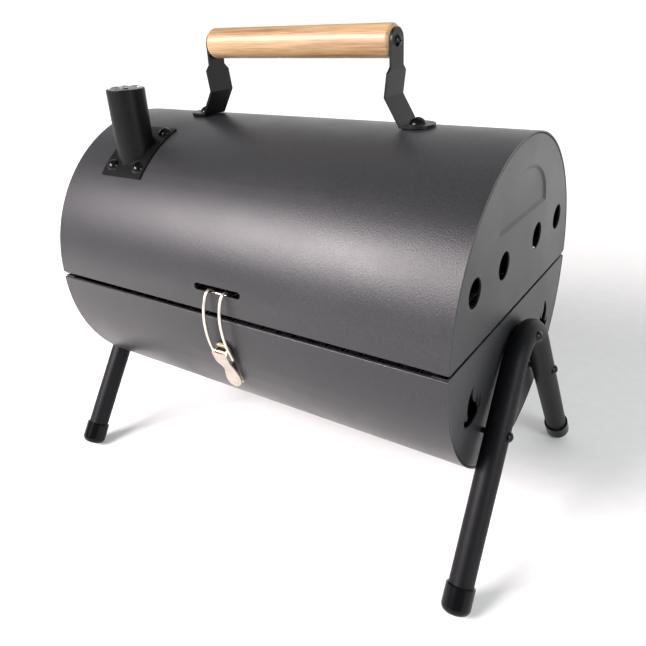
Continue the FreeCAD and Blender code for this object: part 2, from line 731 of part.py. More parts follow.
def latch_rivet_places():
    places = []
    for along in (-4.0, 9.0):
        y, z = on_plate(along, LATCH_SHEET)
        places.append((V(0, y, z), outward(LATCH_ANGLE)))
    return places


def latch_plate():
    """Flat plate on the base shell, round at the top, with two small ears for the lever's pin."""
    width = PLATE_HALF_WIDTH
    top, bottom = PLATE_ENDS
    crown = 5.0
    chamfer = 1.0
    steps = 12
    outline = []
    for i in range(steps + 1):
        turn = math.pi * i / steps
        outline.append((width * math.cos(turn), top + crown - crown * math.sin(turn)))
    outline += [(-width, bottom - chamfer), (-width + chamfer, bottom)]
    outline += [(width - chamfer, bottom), (width, bottom - chamfer)]
    pieces = [plate_outline(outline, 0, LATCH_SHEET)]
    along, height = LEVER_PIVOT
    pin_y, pin_z = on_plate(along, height)
    side_gap = 0.3
    ear_outer = CHEEK_OUTER - LATCH_SHEET - side_gap
    foot = [(along - EAR_R, 0.2), (along + EAR_R + 1.0, 0.2)]
    foot += [(along + EAR_R, height), (along - EAR_R, height)]
    for side in (-1, 1):
        x0 = min(side * ear_outer, side * (ear_outer - LATCH_SHEET))
        x1 = x0 + LATCH_SHEET
        pieces.append(plate_prism(foot, x0, x1))
        pieces.append(rod_x(x0, x1, pin_y, pin_z, EAR_R))
    plate = fuse(pieces)
    plate = plate.cut(rod_x(-20, 20, pin_y, pin_z, LEVER_PIN_R + PIN_CLEARANCE))
    return drill(plate, latch_rivet_places(), SMALL_RIVET["shank_r"])


def latch_pin():
    y, z = on_plate(*LEVER_PIVOT)
    return rod_x(-CHEEK_OUTER - 0.1, CHEEK_OUTER + 0.1, y, z, LEVER_PIN_R)


def eased(start, end, share):
    """Value between start and end that leaves and arrives gently."""
    return start + (end - start) * (0.5 - 0.5 * math.cos(math.pi * share))


def lever_outline():
    """Right-hand edge of the lever as (x, along): straight cheeks, a waist and a round tongue."""
    waist = 5.4
    waist_at = 3.8
    cheeks_end = -5.0
    steps = 8
    edge = [(CHEEK_OUTER, LEVER_PIVOT[0] - 1.5)]
    for i in range(steps):
        share = i / steps
        edge.append((eased(CHEEK_OUTER, waist, share), cheeks_end + (waist_at - cheeks_end) * share))
    for i in range(steps):
        share = i / steps
        edge.append((eased(waist, TONGUE_R, share), waist_at + (TONGUE_CENTRE - waist_at) * share))
    for i in range(steps):
        turn = math.radians(90 * i / steps)
        edge.append((TONGUE_R * math.cos(turn), TONGUE_CENTRE + TONGUE_R * math.sin(turn)))
    return edge


def latch_lever():
    """Pressed lever: a folded channel round the pin, a waist, and a flared finger tongue."""
    along, height = LEVER_PIVOT
    low = LATCH_SHEET + 0.12
    tip = TONGUE_CENTRE + TONGUE_R
    web = plate_prism(strip_section([
        (along - 0.4, height + 1.8), (along + 0.6, height + 2.0), (-6.0, height + 1.8), (1.0, 3.1),
        (5.5, 2.3), (11.5, 2.6), (tip + 0.5, 4.3),
    ], LATCH_SHEET), -9, 9)
    right = lever_outline()
    left = [(-x, s) for x, s in reversed(right)]
    outline = right + [(0.0, tip)] + left
    pieces = [web.common(plate_outline(outline, 0, 12))]
    pin_y, pin_z = on_plate(along, height)
    for side in (-1, 1):
        x0 = min(side * CHEEK_OUTER, side * (CHEEK_OUTER - LATCH_SHEET))
        x1 = x0 + LATCH_SHEET
        cheek = [(along, height - CHEEK_R), (-10.5, low), (-7.2, low), (-5.0, 3.6)]
        cheek += [(-6.0, height + 1.8), (along, height + 2.0)]
        pieces.append(plate_prism(cheek, x0, x1))
        pieces.append(rod_x(x0, x1, pin_y, pin_z, CHEEK_R))
    lever = fuse(pieces)
    inner = CHEEK_OUTER - LATCH_SHEET
    lever = lever.cut(rod_x(-inner, inner, pin_y, pin_z, EAR_R + 0.15))
    lever = lever.cut(rod_x(-20, 20, pin_y, pin_z, LEVER_PIN_R + PIN_CLEARANCE))
    bail_y, bail_z = on_plate(*BAIL_PIVOT)
    return lever.cut(rod_x(-20, 20, bail_y, bail_z, BAIL_R + PIN_CLEARANCE))


def latch_bail():
    """Bent wire loop: two bowed legs, a cross bar at the lid slot, and ends turned into the lever."""
    pivot_y, pivot_z = on_plate(*BAIL_PIVOT)
    side = [(y, AXIS_Z + height) for y, height in BAIL_LINE] + [(pivot_y, pivot_z)]
    inner_x = CHEEK_OUTER - LATCH_SHEET - 0.1
    end = BAIL_X - inner_x
    pieces = [rod_x(-BAIL_X, BAIL_X, side[0][0], side[0][1], BAIL_R)]
    for sign in (-1, 1):
        points = [V(sign * BAIL_X, y, z) for y, z in side]
        curve = Part.BSplineCurve()
        curve.interpolate(points)
        direction = curve.tangent(curve.FirstParameter)[0]
        circle = Part.Wire(Part.makeCircle(BAIL_R, points[0], direction))
        pieces.append(Part.Wire(curve.toShape()).makePipeShell([circle], True, False))
        pieces.append(Part.makeSphere(BAIL_R, points[0]))
        pieces.append(Part.makeSphere(BAIL_R, points[-1]))
        start = V(sign * inner_x, pivot_y, pivot_z)
        pieces.append(Part.makeCylinder(BAIL_R, end, start, X_DIR * sign))
    return fuse(pieces)


# ---- grate and tray ----
LEDGE_X = (-112.0, 112.0)
LEDGE_HALF = 8.0
LEDGE_SHELF = 10.0              # how far a ledge stands out from the wall
LEDGE_ANGLES = (11.6, 17.5)     # stretch of the wall, below the seam, that a ledge is welded to


def grate_ledges():
    """Four small angle brackets, spot-welded inside the base, that carry the cooking grate."""
    top = AXIS_Z + GRATE_LEDGE
    inside = rod_x(-HALF_LENGTH, HALF_LENGTH, 0, BASE_Z, INNER_R)
    wall_y, _ = around(INNER_R, LEDGE_ANGLES[0])
    pieces = []
    for x in LEDGE_X:
        wall = sector(INNER_R - SHEET, INNER_R, -LEDGE_ANGLES[1], -LEDGE_ANGLES[0],
                      x - LEDGE_HALF, x + LEDGE_HALF)
        shelf = box(x - LEDGE_HALF, x + LEDGE_HALF, -INNER_R, wall_y + LEDGE_SHELF, top - SHEET, top)
        ledge = fuse([wall, shelf.common(inside)])
        pieces.append(ledge)
        pieces.append(mirror_y(ledge))
    return group(pieces)


GRATE_Z = AXIS_Z + GRATE_LEDGE + GRATE_REST_GAP + GRATE_FRAME_R


def grate_frame():
    """Wire rectangle with bent corners."""
    bend = 14.0
    long_half = GRATE_HALF_LENGTH - bend
    wide_half = GRATE_HALF_WIDTH - bend
    pieces = []
    for side in (-1, 1):
        pieces.append(rod_x(-long_half, long_half, side * GRATE_HALF_WIDTH, GRATE_Z, GRATE_FRAME_R))
        start = V(side * GRATE_HALF_LENGTH, -wide_half, GRATE_Z)
        pieces.append(Part.makeCylinder(GRATE_FRAME_R, 2 * wide_half, start, Y_DIR))
    for sx in (-1, 1):
        for sy in (-1, 1):
            centre = V(sx * long_half, sy * wide_half, GRATE_Z)
            start_angle = {(1, 1): 0, (-1, 1): 90, (-1, -1): 180, (1, -1): 270}[(sx, sy)]
            circle = Part.makeCircle(GRATE_FRAME_R, centre + V(bend, 0, 0), Y_DIR)
            quarter = Part.Face(Part.Wire(circle)).revolve(centre, Z_DIR, 90)
            pieces.append(quarter.rotated(centre, Z_DIR, start_angle))
    return fuse(pieces)


def grate_bars():
    """Cross bars laid on the frame, each a separate rod."""
    z = GRATE_Z + GRATE_FRAME_R + GRATE_BAR_R
    span = GRATE_HALF_WIDTH + GRATE_FRAME_R
    pitch = 2 * (GRATE_HALF_LENGTH - 13.0) / (GRATE_BAR_COUNT - 1)
    bars = []
    for i in range(GRATE_BAR_COUNT):
        x = (i - (GRATE_BAR_COUNT - 1) / 2) * pitch
        bars.append(Part.makeCylinder(GRATE_BAR_R, 2 * span, V(x, -span, z), Y_DIR))
    return group(bars)


def grate_stays():
    """Two long rods under the bars that stiffen the grate."""
    z = GRATE_Z + GRATE_FRAME_R - GRATE_BAR_R
    reach = GRATE_HALF_LENGTH - GRATE_FRAME_R
    return group([rod_x(-reach, reach, y, z, GRATE_BAR_R) for y in (-34.0, 34.0)])


def grate_handle():
    """Right-hand lifting loop welded to the end of the frame."""
    x = GRATE_HALF_LENGTH - GRATE_FRAME_R - GRATE_BAR_R
    foot = GRATE_Z - GRATE_FRAME_R + 0.2
    top = GRATE_Z + 20.0
    half = 24.0
    bend = 8.0
    pieces = []
    for side in (-1, 1):
        pieces.append(Part.makeCylinder(GRATE_BAR_R, top - bend - foot, V(x, side * half, foot)))
        centre = V(x, side * (half - bend), top - bend)
        circle = Part.makeCircle(GRATE_BAR_R, centre + V(0, side * bend, 0), Z_DIR)
        turn = Part.Face(Part.Wire(circle)).revolve(centre, X_DIR, side * 90)
        pieces.append(turn)
    start = V(x, -(half - bend), top)
    pieces.append(Part.makeCylinder(GRATE_BAR_R, 2 * (half - bend), start, Y_DIR))
    return fuse(pieces)


def tray_body(inset, lift):
    """Solid block of the tray's outside, or its inside when inset."""
    slope = math.atan2(TRAY_RIM_HALF - TRAY_FLOOR_HALF, TRAY_RIM - TRAY_FLOOR)
    side_shift = inset / math.cos(slope) - lift * math.tan(slope)
    rim = TRAY_RIM + (5 if lift else 0)
    rise = (TRAY_RIM_HALF - TRAY_FLOOR_HALF) / (TRAY_RIM - TRAY_FLOOR)
    low = TRAY_FLOOR_HALF - side_shift
    high = low + (rim - TRAY_FLOOR - lift) * rise
    bottom = AXIS_Z + TRAY_FLOOR + lift
    points = [(-low, bottom), (low, bottom), (high, AXIS_Z + rim), (-high, AXIS_Z + rim)]
    return prism_yz(points, -TRAY_HALF_LENGTH + inset, TRAY_HALF_LENGTH - inset)


def charcoal_tray():
    """Folded sheet tray with sloping sides and rows of air slots in its floor."""
    tray = tray_body(0.0, 0.0).cut(tray_body(SHEET, SHEET))
    floor_z = AXIS_Z + TRAY_FLOOR - 2
    cutters = []
    for i in range(11):
        for j in range(3):
            x = (i - 5) * 25.0
            y = (j - 1) * 38.0
            slot = box(x - 2.5, x + 2.5, y - 10, y + 10, floor_z, floor_z + 5)
            ends = [Part.makeCylinder(2.5, 5, V(x, y + s * 10, floor_z)) for s in (-1, 1)]
            cutters.append(fuse([slot] + ends))
    return tray.cut(Part.makeCompound(cutters))


def build():
    os.makedirs("parts", exist_ok=True)
    save(lid_shell(), "lid_shell")
    save(base_shell(), "base_shell")
    for name, maker in (("lid_end", lid_end), ("base_end", base_end), ("handle_bracket", bracket),
                        ("leg", leg), ("hinge_pin", hinge_pin), ("grate_handle", grate_handle)):
        right = maker()
        save(right, name + "_right")
        save(mirror_x(right), name + "_left")
    for name, lid_side in (("hinge_lid_leaf", True), ("hinge_base_leaf", False)):
        leaf = hinge_leaf(lid_side)
        save(leaf, name + "_right")
        save(mirror_x(leaf), name + "_left")
    cap = foot_cap()
    save(cap, "foot_cap_back_right")
    save(mirror_x(cap), "foot_cap_back_left")
    save(mirror_y(cap), "foot_cap_front_right")
    save(mirror_x(mirror_y(cap)), "foot_cap_front_left")

    save(chimney_flange(), "chimney_flange")
    save(chimney_pipe(), "chimney_pipe")
    save(chimney_cap(), "chimney_cap")
    save(fasteners(chimney_screw_places(), CHIMNEY_SCREW), "chimney_screws")
    save(nuts(chimney_screw_places(), CHIMNEY_SCREW, 2 * SHEET + 0.15, 7.0, 3.0), "chimney_nuts")

    save(grip(), "handle_grip")
    save(grip_screws(), "handle_grip_screws")
    save(fasteners(handle_screw_places(), FOOT_SCREW), "handle_foot_screws")
    reach = BRACKET_SHEET + SHEET + 0.2
    save(nuts(handle_screw_places(), FOOT_SCREW, reach, 8.0, 3.6), "handle_foot_nuts")

    leg_screws = fasteners(leg_screw_places(), LEG_SCREW)
    inner_nuts = leg_nuts()
    save(leg_screws, "leg_screws_right")
    save(mirror_x(leg_screws), "leg_screws_left")
    save(inner_nuts, "leg_nuts_right")
    save(mirror_x(inner_nuts), "leg_nuts_left")

    save(rivets(hinge_rivet_places(True), SMALL_RIVET), "hinge_lid_rivets")
    save(rivets(hinge_rivet_places(False), SMALL_RIVET), "hinge_base_rivets")
    save(latch_plate(), "latch_plate")
    save(rivets(latch_rivet_places(), LATCH_RIVET), "latch_rivets")
    save(latch_pin(), "latch_pin")
    save(latch_lever(), "latch_lever")
    save(latch_bail(), "latch_bail")

    save(grate_ledges(), "grate_ledges")
    save(grate_frame(), "grate_frame")
    save(grate_bars(), "grate_bars")
    save(grate_stays(), "grate_stays")
    save(charcoal_tray(), "charcoal_tray")


build()
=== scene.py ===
import math

import bmesh
import bpy
from mathutils import Matrix, Vector


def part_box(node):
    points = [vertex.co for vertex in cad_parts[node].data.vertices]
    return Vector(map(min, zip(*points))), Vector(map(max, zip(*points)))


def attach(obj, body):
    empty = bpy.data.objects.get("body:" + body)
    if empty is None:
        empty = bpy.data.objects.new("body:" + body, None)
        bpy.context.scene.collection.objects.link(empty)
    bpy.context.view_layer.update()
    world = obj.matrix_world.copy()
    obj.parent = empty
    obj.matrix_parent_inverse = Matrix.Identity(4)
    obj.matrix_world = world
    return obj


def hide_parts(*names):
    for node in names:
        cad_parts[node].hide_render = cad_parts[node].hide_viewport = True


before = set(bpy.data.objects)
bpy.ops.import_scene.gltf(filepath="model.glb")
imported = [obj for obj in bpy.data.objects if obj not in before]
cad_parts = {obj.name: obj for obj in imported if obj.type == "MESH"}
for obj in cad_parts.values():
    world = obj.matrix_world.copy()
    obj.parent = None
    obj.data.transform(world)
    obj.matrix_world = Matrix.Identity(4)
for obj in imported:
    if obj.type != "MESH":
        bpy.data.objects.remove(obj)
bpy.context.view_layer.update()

MM = 0.001


# ---- Base: shell and two end plates ----
# Half-round shell rolled from 1 mm steel with folded hems, and two pressed end plates welded into it.
# Sprayed with heat-resistant silicone paint: satin black that greys where it mirrors the room, with a
# fine metallic grain that sparkles in the highlight.
PAINT_DARK = "#1F2022"
PAINT_LIGHT = "#2C2D2F"
PAINT_GRAIN = 0.8 * MM      # real grain is about 0.3 mm; drawn coarser so that it shows
PAINT_CLOUD = 38.0 * MM     # slow changes of film thickness
PAINT_SPECULAR = 0.38
PAINT_TINT = (0.985, 1.0, 0.985, 1.0)
PAINT_ROUGHNESS = (0.32, 0.39)
PAINT_RELIEF = 0.13 * MM
GLOSS_IOR = 1.5             # silicone paint, powder coat, PVC, enamel and lacquer all lie close to this


def linear(text):
    """Linear RGBA from an sRGB hex colour."""
    out = []
    for i in (1, 3, 5):
        value = int(text[i:i + 2], 16) / 255
        out.append(value / 12.92 if value <= 0.04045 else ((value + 0.055) / 1.055) ** 2.4)
    return (*out, 1.0)


def add(mat, kind, settings=None, links=None):
    """Add one node: settings are properties, ramp stops or input values, links are (node, output)."""
    node = mat.node_tree.nodes.new(kind)
    for key, value in (settings or {}).items():
        if key == "stops":
            ramp = node.color_ramp
            while len(ramp.elements) < len(value):
                ramp.elements.new(0.5)
            for element, (place, colour) in zip(ramp.elements, value):
                element.position = place
                element.color = linear(colour)
        elif isinstance(key, int) or key in node.inputs:
            node.inputs[key].default_value = value
        else:
            setattr(node, key, value)
    for key, (source, output) in (links or {}).items():
        mat.node_tree.links.new(source.outputs[output], node.inputs[key])
    return node


def new_material(name):
    """An empty node material with its Principled shader, ready for its pattern."""
    mat = bpy.data.materials.new(name)
    mat.use_nodes = True
    mat.node_tree.nodes.clear()
    shader = add(mat, "ShaderNodeBsdfPrincipled")
    add(mat, "ShaderNodeOutputMaterial", links={"Surface": (shader, "BSDF")})
    return mat, shader


def connect(mat, shader, **links):
    """Link pattern outputs to the shader's inputs, whose names have spaces for underscores."""
    for key, (source, output) in links.items():
        mat.node_tree.links.new(source.outputs[output], shader.inputs[key.replace("_", " ")])


def dress(material, *names):
    """Give CAD nodes a material."""
    for name in names:
        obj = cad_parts[name]
        if not obj.material_slots:
            obj.data.materials.append(material)
        for material_slot in obj.material_slots:
            material_slot.material = material


def heat_paint():
    """Sprayed silicone paint: fine light grains in a dark grey film, with a broad soft highlight."""
    mat, shader = new_material("heat_paint_sprayed_satin")
    place = add(mat, "ShaderNodeTexCoord")
    grain = add(mat, "ShaderNodeTexNoise", {"Scale": 1 / PAINT_GRAIN, "Detail": 2.0, "Roughness": 0.7},
                {"Vector": (place, "Object")})
    cloud = add(mat, "ShaderNodeTexNoise", {"Scale": 1 / PAINT_CLOUD, "Detail": 3.0},
                {"Vector": (place, "Object")})
    colour = add(mat, "ShaderNodeValToRGB", {"stops": [(0.34, PAINT_DARK), (0.68, PAINT_LIGHT)]},
                 {"Fac": (grain, "Fac")})
    gloss = add(mat, "ShaderNodeMapRange",
                {"From Min": 0.3, "From Max": 0.7,
                 "To Min": PAINT_ROUGHNESS[0], "To Max": PAINT_ROUGHNESS[1]},
                {"Value": (cloud, "Fac")})
    bump = add(mat, "ShaderNodeBump", {"Strength": 1.0, "Distance": PAINT_RELIEF},
               {"Height": (grain, "Fac")})
    shader.inputs["IOR"].default_value = GLOSS_IOR
    shader.inputs["Specular IOR Level"].default_value = PAINT_SPECULAR
    shader.inputs["Specular Tint"].default_value = PAINT_TINT
    connect(mat, shader, Base_Color=(colour, "Color"), Roughness=(gloss, "Result"),
            Normal=(bump, "Normal"))
    return mat


heat_paint_mat = heat_paint()
dress(heat_paint_mat, "base_shell", "base_end_left", "base_end_right")


# ---- Legs and feet ----
# Two steel tubes, 16 mm, bent into an inverted V and powder coated: darker than the body, with a fine
# dry texture. Each is held by three black cross-head screws and stands on two glossy moulded PVC caps.
COAT_DARK = "#060709"
COAT_LIGHT = "#101115"
COAT_GRAIN = 0.9 * MM       # real texture is about 0.4 mm; drawn coarser so that it shows
COAT_RELIEF = 0.12 * MM
COAT_SPECULAR = 0.16
COAT_ROUGHNESS = 0.46
PVC_BLACK = "#040507"
PVC_RIPPLE = 7.0 * MM       # slow waviness of a thin moulding
PVC_SPECULAR = 0.15
PVC_ROUGHNESS = (0.16, 0.28)
SCREW_BLACK = "#101012"
SCREW_WORN = "#2E2D2C"
SCREW_WEAR = 1.6 * MM
SCREW_ROUGHNESS = (0.14, 0.3)


def leg_coating():
    """Powder coat: a dry, finely pitted film, darker and duller than the body paint."""
    mat, shader = new_material("powder_coat_textured_black")
    place = add(mat, "ShaderNodeTexCoord")
    grain = add(mat, "ShaderNodeTexNoise", {"Scale": 1 / COAT_GRAIN, "Detail": 3.0, "Roughness": 0.6},
                {"Vector": (place, "Object")})
    colour = add(mat, "ShaderNodeValToRGB", {"stops": [(0.35, COAT_DARK), (0.7, COAT_LIGHT)]},
                 {"Fac": (grain, "Fac")})
    bump = add(mat, "ShaderNodeBump", {"Strength": 0.8, "Distance": COAT_RELIEF},
               {"Height": (grain, "Fac")})
    shader.inputs["IOR"].default_value = GLOSS_IOR
    shader.inputs["Specular IOR Level"].default_value = COAT_SPECULAR
    shader.inputs["Roughness"].default_value = COAT_ROUGHNESS
    connect(mat, shader, Base_Color=(colour, "Color"), Normal=(bump, "Normal"))
    return mat


def foot_pvc():
    """Moulded soft PVC: the glossiest black on the grill, with small sharp wavering reflections."""
    mat, shader = new_material("pvc_moulded_gloss_black")
    place = add(mat, "ShaderNodeTexCoord")
    ripple = add(mat, "ShaderNodeTexNoise", {"Scale": 1 / PVC_RIPPLE, "Detail": 2.0},
                 {"Vector": (place, "Object")})
    gloss = add(mat, "ShaderNodeMapRange", {"To Min": PVC_ROUGHNESS[0], "To Max": PVC_ROUGHNESS[1]},
                {"Value": (ripple, "Fac")})
    bump = add(mat, "ShaderNodeBump", {"Strength": 0.15, "Distance": 0.2 * MM},
               {"Height": (ripple, "Fac")})
    shader.inputs["Base Color"].default_value = linear(PVC_BLACK)
    shader.inputs["IOR"].default_value = GLOSS_IOR
    shader.inputs["Specular IOR Level"].default_value = PVC_SPECULAR
    connect(mat, shader, Roughness=(gloss, "Result"), Normal=(bump, "Normal"))
    return mat


def screw_black():
    """Black-oxide screws wiped with oil: nearly black metal with pin-point reflections and wear."""
    mat, shader = new_material("black_oxide_steel_oiled")
    place = add(mat, "ShaderNodeTexCoord")
    wear = add(mat, "ShaderNodeTexNoise", {"Scale": 1 / SCREW_WEAR, "Detail": 3.0},
               {"Vector": (place, "Object")})
    colour = add(mat, "ShaderNodeValToRGB", {"stops": [(0.5, SCREW_BLACK), (0.8, SCREW_WORN)]},
                 {"Fac": (wear, "Fac")})
    gloss = add(mat, "ShaderNodeMapRange", {"To Min": SCREW_ROUGHNESS[0], "To Max": SCREW_ROUGHNESS[1]},
                {"Value": (wear, "Fac")})
    shader.inputs["Metallic"].default_value = 0.7
    connect(mat, shader, Base_Color=(colour, "Color"), Roughness=(gloss, "Result"))
    return mat


leg_mat = leg_coating()
pvc_mat = foot_pvc()
screw_mat = screw_black()
dress(leg_mat, "leg_left", "leg_right")
dress(pvc_mat, "foot_cap_front_left", "foot_cap_front_right", "foot_cap_back_left", "foot_cap_back_right")
dress(screw_mat, "leg_screws_left", "leg_screws_right")


# ---- Nuts, ledges, tray and grate ----
# Zinc-plated nuts and ledges, a galvanised tray folded from sheet, and a welded wire grate in chrome
# dulled by heat and darkened further as painted shade, so that it stays dark inside. All sit inside and
# show through the vents or with the lid open.
ZINC_DARK = "#8D8F90"
ZINC_LIGHT = "#C4C5C2"
ZINC_STAIN = 2.5 * MM
ZINC_ROUGHNESS = (0.25, 0.5)
TRAY_DARK = "#85888A"
TRAY_LIGHT = "#B4B7B8"
TRAY_SPANGLE = 6.0 * MM
TRAY_ROUGHNESS = (0.35, 0.6)
# Painted shade: both chrome greys are darker than chrome itself, so that the grate stays dark inside the
# barrel.
CHROME_TINT_SHADED = "#8E8F92"
CHROME_DULL_SHADED = "#6B6C6F"
CHROME_HAZE = 9.0 * MM
CHROME_ROUGHNESS = (0.08, 0.28)


def zinc_plate():
    """Zinc plate: pale grey metal with small cloudy stains, half bright and half dull."""
    mat, shader = new_material("zinc_plated_steel")
    place = add(mat, "ShaderNodeTexCoord")
    stain = add(mat, "ShaderNodeTexNoise", {"Scale": 1 / ZINC_STAIN, "Detail": 4.0},
                {"Vector": (place, "Object")})
    colour = add(mat, "ShaderNodeValToRGB", {"stops": [(0.3, ZINC_DARK), (0.7, ZINC_LIGHT)]},
                 {"Fac": (stain, "Fac")})
    gloss = add(mat, "ShaderNodeMapRange", {"To Min": ZINC_ROUGHNESS[0], "To Max": ZINC_ROUGHNESS[1]},
                {"Value": (stain, "Fac")})
    shader.inputs["Metallic"].default_value = 1.0
    connect(mat, shader, Base_Color=(colour, "Color"), Roughness=(gloss, "Result"))
    return mat


def galvanised_sheet():
    """Hot-dip galvanised sheet: flat crystals of zinc, each with its own grey and its own dullness."""
    mat, shader = new_material("galvanised_sheet_spangled")
    place = add(mat, "ShaderNodeTexCoord")
    spangle = add(mat, "ShaderNodeTexVoronoi", {"Scale": 1 / TRAY_SPANGLE},
                  {"Vector": (place, "Object")})
    grey = add(mat, "ShaderNodeRGBToBW", links={"Color": (spangle, "Color")})
    colour = add(mat, "ShaderNodeValToRGB", {"stops": [(0.2, TRAY_DARK), (0.8, TRAY_LIGHT)]},
                 {"Fac": (grey, "Val")})
    gloss = add(mat, "ShaderNodeMapRange", {"To Min": TRAY_ROUGHNESS[0], "To Max": TRAY_ROUGHNESS[1]},
                {"Value": (grey, "Val")})
    shader.inputs["Metallic"].default_value = 1.0
    connect(mat, shader, Base_Color=(colour, "Color"), Roughness=(gloss, "Result"))
    return mat


def wire_chrome():
    """Chrome-plated wire: smoky metal with hazy patches, its greys darkened below chrome as painted
    shade.
    """
    mat, shader = new_material("chrome_plated_wire_painted_shade")
    place = add(mat, "ShaderNodeTexCoord")
    haze = add(mat, "ShaderNodeTexNoise", {"Scale": 1 / CHROME_HAZE, "Detail": 4.0},
               {"Vector": (place, "Object")})
    colour = add(mat, "ShaderNodeValToRGB", {"stops": [(0.35, CHROME_DULL_SHADED), (0.65, CHROME_TINT_SHADED)]},
                 {"Fac": (haze, "Fac")})
    gloss = add(mat, "ShaderNodeMapRange", {"To Min": CHROME_ROUGHNESS[0], "To Max": CHROME_ROUGHNESS[1]},
                {"Value": (haze, "Fac")})
    shader.inputs["Metallic"].default_value = 1.0
    connect(mat, shader, Base_Color=(colour, "Color"), Roughness=(gloss, "Result"))
    return mat


zinc_mat = zinc_plate()
tray_mat = galvanised_sheet()
chrome_shaded_mat = wire_chrome()
dress(zinc_mat, "leg_nuts_left", "leg_nuts_right", "chimney_nuts", "handle_foot_nuts", "grate_ledges")
dress(tray_mat, "charcoal_tray")
dress(chrome_shaded_mat, "grate_frame", "grate_bars", "grate_stays", "grate_handle_left", "grate_handle_right")


# ---- Lid: shell and two end plates ----
# The same rolled shell and pressed ends as the base, in the same sprayed paint. The ends have punched
# round vents and a half-moon pressed inward.
dress(heat_paint_mat, "lid_shell", "lid_end_left", "lid_end_right")


# ---- Hinges ----
# Two butt hinges of pressed steel at the back seam, riveted to both shells and painted black.
BLACK_DEEP = "#050606"
BLACK_SHEEN = "#0E0F10"
ENAMEL_PEEL = 1.3 * MM      # orange-peel of a dipped film
ENAMEL_RELIEF = 0.06 * MM
ENAMEL_ROUGHNESS = (0.3, 0.46)
ENAMEL_SPECULAR = 0.25


def black_enamel(name, specular):
    """Dipped black enamel: smooth, semi-gloss, a little uneven; specular is how much it mirrors."""
    mat, shader = new_material(name)
    place = add(mat, "ShaderNodeTexCoord")
    peel = add(mat, "ShaderNodeTexNoise", {"Scale": 1 / ENAMEL_PEEL, "Detail": 3.0},
               {"Vector": (place, "Object")})
    colour = add(mat, "ShaderNodeValToRGB", {"stops": [(0.35, BLACK_DEEP), (0.7, BLACK_SHEEN)]},
                 {"Fac": (peel, "Fac")})
    gloss = add(mat, "ShaderNodeMapRange", {"To Min": ENAMEL_ROUGHNESS[0], "To Max": ENAMEL_ROUGHNESS[1]},
                {"Value": (peel, "Fac")})
    bump = add(mat, "ShaderNodeBump", {"Strength": 0.3, "Distance": ENAMEL_RELIEF},
               {"Height": (peel, "Fac")})
    shader.inputs["IOR"].default_value = GLOSS_IOR
    shader.inputs["Specular IOR Level"].default_value = specular
    connect(mat, shader, Base_Color=(colour, "Color"), Roughness=(gloss, "Result"),
            Normal=(bump, "Normal"))
    return mat


enamel_mat = black_enamel("enamel_dipped_black", ENAMEL_SPECULAR)
dress(enamel_mat, "hinge_lid_leaf_left", "hinge_lid_leaf_right", "hinge_base_leaf_left",
      "hinge_base_leaf_right", "hinge_pin_left", "hinge_pin_right", "hinge_lid_rivets",
      "hinge_base_rivets")


# ---- Chimney ----
# Steel pipe welded to a rolled flange, in a stoved enamel deeper than the brackets', held by four domed
# screws. A pressed zinc-plated cap with petals closes its mouth.
PIPE_SPECULAR = 0.13
pipe_mat = black_enamel("enamel_stoved_deep_black", PIPE_SPECULAR)
dress(pipe_mat, "chimney_flange", "chimney_pipe")
dress(screw_mat, "chimney_screws")
PETALS = 5
PETAL_HUB = 2.6 * MM        # where the smoke holes start and end, from the middle
PETAL_RING = 10.6 * MM
PETAL_GAP = math.radians(21.0)
CAP_EDGE = 12.2 * MM
CAP_COLUMNS = 16            # mesh columns across one petal
CAP_RINGS = 30
CAP_SHEET = 0.7 * MM
CAP_ABOVE = 0.5 * MM        # flat of the cap above the pipe's rim
PETAL_BOW = 1.1 * MM
HUB_RISE = 1.3 * MM
HUB_WIDTH = 2.2 * MM
EDGE_DROP = 1.2 * MM
MIDDLE_SHARE = 0.15         # the first ring is not a point, so that its faces stay clean


def chimney_cap():
    """Pressed cap: petals that bow upward between elongated smoke holes, a low hub and a rolled edge."""
    low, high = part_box("chimney_cap")
    middle = (low + high) / 2
    pipe_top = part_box("chimney_pipe")[1].z
    mesh = bmesh.new()
    rings = []
    for i in range(CAP_RINGS + 1):
        radius = CAP_EDGE * max(i, MIDDLE_SHARE) / CAP_RINGS
        through = min(max((radius - PETAL_HUB) / (PETAL_RING - PETAL_HUB), 0.0), 1.0)
        opening = math.sin(math.pi * through) ** 0.55 if 0.0 < through < 1.0 else 0.0
        ring = []
        for petal in range(PETALS):
            for j in range(CAP_COLUMNS + 1):
                across = 2.0 * j / CAP_COLUMNS - 1.0
                reach = math.pi / PETALS - PETAL_GAP * opening
                turn = 2 * math.pi * petal / PETALS + reach * across
                bow = PETAL_BOW * opening * math.cos(0.5 * math.pi * across)
                hub = HUB_RISE * math.exp(-(radius / HUB_WIDTH) ** 2)
                roll = -EDGE_DROP * max((radius - PETAL_RING) / (CAP_EDGE - PETAL_RING), 0.0) ** 2
                x = middle.x + radius * math.cos(turn)
                y = middle.y + radius * math.sin(turn)
                ring.append(mesh.verts.new((x, y, pipe_top + CAP_ABOVE + bow + hub + roll)))
        rings.append(ring)
    for inner, outer in zip(rings[:-1], rings[1:]):
        for petal in range(PETALS):
            first = petal * (CAP_COLUMNS + 1)
            for j in range(first, first + CAP_COLUMNS):
                mesh.faces.new((inner[j], outer[j], outer[j + 1], inner[j + 1]))
    bmesh.ops.remove_doubles(mesh, verts=mesh.verts, dist=0.02 * MM)
    data = bpy.data.meshes.new("chimney_petal_cap")
    mesh.to_mesh(data)
    mesh.free()
    for face in data.polygons:
        face.use_smooth = True
    obj = bpy.data.objects.new("chimney_petal_cap", data)
    bpy.context.scene.collection.objects.link(obj)
    solid = obj.modifiers.new("sheet", "SOLIDIFY")
    solid.thickness = CAP_SHEET
    data.materials.append(zinc_mat)
    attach(obj, "lid")
    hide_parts("chimney_cap")


chimney_cap()


